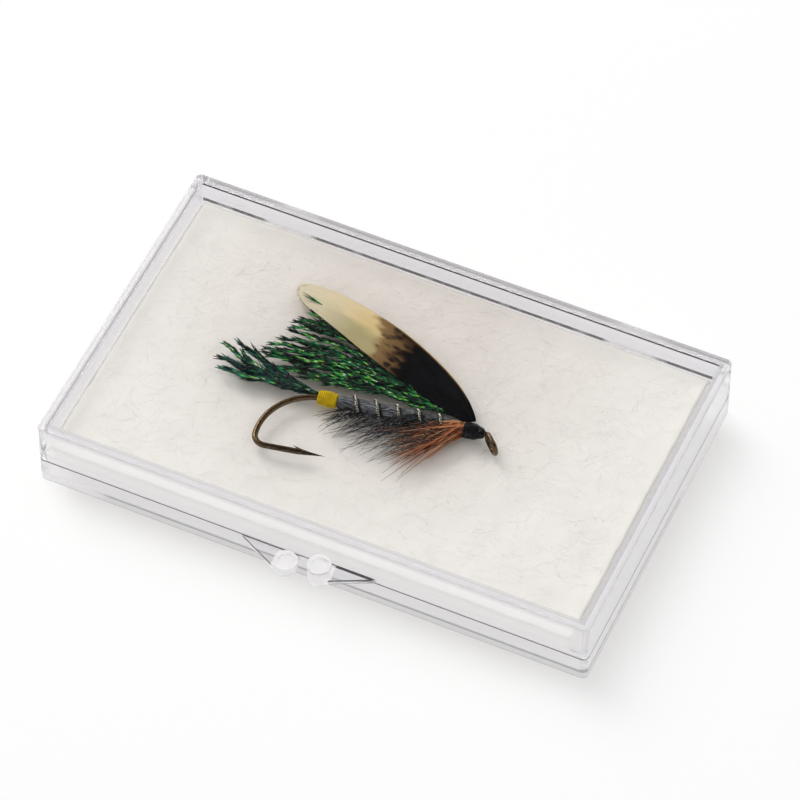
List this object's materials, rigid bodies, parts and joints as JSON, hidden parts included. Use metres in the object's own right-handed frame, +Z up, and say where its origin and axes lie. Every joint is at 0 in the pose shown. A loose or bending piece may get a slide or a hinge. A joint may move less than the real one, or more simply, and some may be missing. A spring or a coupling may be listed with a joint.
{
  "type": "fly box",
  "caption": "Clear hinged presentation box with a wadding pad that holds a dressed salmon fly; the lid swings up on moulded pin hinges at the back.",
  "frame": {"origin": "centre of the box's flat underside, below the middle of the four walls", "axes": "+X along the width to the right, +Y from the finger tabs to the hinges, +Z up out of the closed lid"},
  "size_m": [0.094, 0.0633, 0.0127],
  "materials": {
    "clear_plastic": "clear, polished",
    "wadding": "soft fibrous",
    "bronzed_wire": "bronzed, satin",
    "yellow_floss": "wound floss",
    "green_herl": "iridescent herl",
    "grey_floss": "wound floss",
    "silver_tinsel": "twisted oval tinsel",
    "black_hackle": "fine fibres",
    "brown_hackle": "fine fibres",
    "wing_feather": "married feather strips",
    "black_thread": "varnished thread"
  },
  "bodies": {
    "base": {"base": "clear_plastic", "pad": "wadding", "hook": "bronzed_wire", "tag_floss": "yellow_floss", "tail": "green_herl", "body_floss": "grey_floss", "rib_tinsel": "silver_tinsel", "body_hackle": "black_hackle", "throat_hackle": "brown_hackle", "underwing": "green_herl", "wing_far": "wing_feather", "wing_near": "wing_feather", "head_thread": "black_thread"},
    "lid": {"lid": "clear_plastic"}
  },
  "joints": [
    {"name": "lid_hinge", "type": "hinge", "parent": "base", "child": "lid", "pos_m": [0, 0.02935, 0.005], "axis": [-1, 0, 0], "range_deg": [0, 125]}
  ]
}
